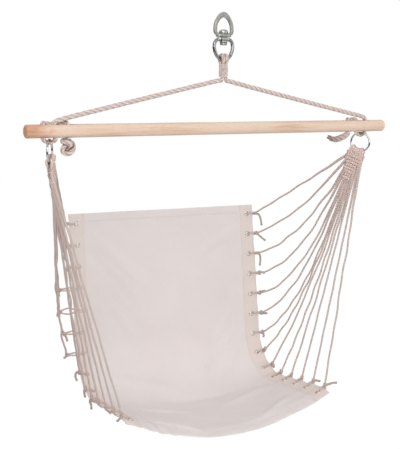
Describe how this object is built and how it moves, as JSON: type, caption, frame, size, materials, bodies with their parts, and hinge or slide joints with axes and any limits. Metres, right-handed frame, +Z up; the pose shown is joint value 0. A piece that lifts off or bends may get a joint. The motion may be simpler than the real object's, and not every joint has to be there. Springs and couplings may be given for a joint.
{
  "type": "hammock chair",
  "caption": "Hanging canvas chair: a laced cloth seat on fanned cords and rings under a drilled wooden spreader bar, hung by two ropes from a swivel.",
  "frame": {"origin": "inside top of the upper swivel eye, where the ceiling hook carries the chair", "axes": "+Z up, +X along the spreader bar to the sitter's left, and the sitter faces -Y"},
  "size_m": [1, 0.4957, 1.0288],
  "materials": {
    "galvanised_steel": "hot-dip galvanised, matt",
    "worn_steel": "zinc plated, rubbed darker",
    "chromed_steel": "bright chrome",
    "eyelet_steel": "nickel plated",
    "beech": "sanded, clear oiled",
    "cotton_rope": "three-strand natural cotton",
    "cotton_twine": "tight wound twine",
    "cotton_cord": "laid natural cotton cord",
    "canvas": "heavy plain-weave cotton canvas",
    "canvas_edge": "folded and stitched canvas"
  },
  "bodies": {
    "hang_eye": {"upper_eye": "galvanised_steel"},
    "swivel": {"thrust_washer": "galvanised_steel", "swivel_bolt": "worn_steel", "lower_eye": "worn_steel", "rivet_washer": "worn_steel"},
    "hanger": {"spreader_bar": "beech", "rope_left": "cotton_rope", "rope_right": "cotton_rope", "neck_whipping": "cotton_twine"},
    "seat": {"ring_left": "chromed_steel", "ring_right": "chromed_steel", "cord_net_left": "cotton_cord", "cord_net_right": "cotton_cord", "seat_canvas": "canvas", "top_hem": "canvas_edge", "front_hem": "canvas_edge", "side_band_left": "canvas_edge", "side_band_right": "canvas_edge", "eyelet_left_01": "eyelet_steel", "eyelet_left_02": "eyelet_steel", "eyelet_left_03": "eyelet_steel", "eyelet_left_04": "eyelet_steel", "eyelet_left_05": "eyelet_steel", "eyelet_left_06": "eyelet_steel", "eyelet_left_07": "eyelet_steel", "eyelet_left_08": "eyelet_steel", "eyelet_left_09": "eyelet_steel", "eyelet_left_10": "eyelet_steel", "eyelet_left_11": "eyelet_steel", "eyelet_left_12": "eyelet_steel", "eyelet_left_13": "eyelet_steel", "eyelet_left_14": "eyelet_steel", "eyelet_right_01": "eyelet_steel", "eyelet_right_02": "eyelet_steel", "eyelet_right_03": "eyelet_steel", "eyelet_right_04": "eyelet_steel", "eyelet_right_05": "eyelet_steel", "eyelet_right_06": "eyelet_steel", "eyelet_right_07": "eyelet_steel", "eyelet_right_08": "eyelet_steel", "eyelet_right_09": "eyelet_steel", "eyelet_right_10": "eyelet_steel", "eyelet_right_11": "eyelet_steel", "eyelet_right_12": "eyelet_steel", "eyelet_right_13": "eyelet_steel", "eyelet_right_14": "eyelet_steel"}
  },
  "joints": [
    {"name": "swivel_spin", "type": "hinge", "parent": "hang_eye", "child": "swivel", "pos_m": [0, 0, -0.0451], "axis": [0, 0, 1], "continuous": true},
    {"name": "hanger_swing", "type": "hinge", "parent": "swivel", "child": "hanger", "pos_m": [0, 0, -0.0982], "axis": [1, 0, 0], "range_deg": [-35, 35]},
    {"name": "seat_swing", "type": "hinge", "parent": "hanger", "child": "seat", "pos_m": [0, 0, -0.2895], "axis": [1, 0, 0], "range_deg": [-22, 22]}
  ]
}
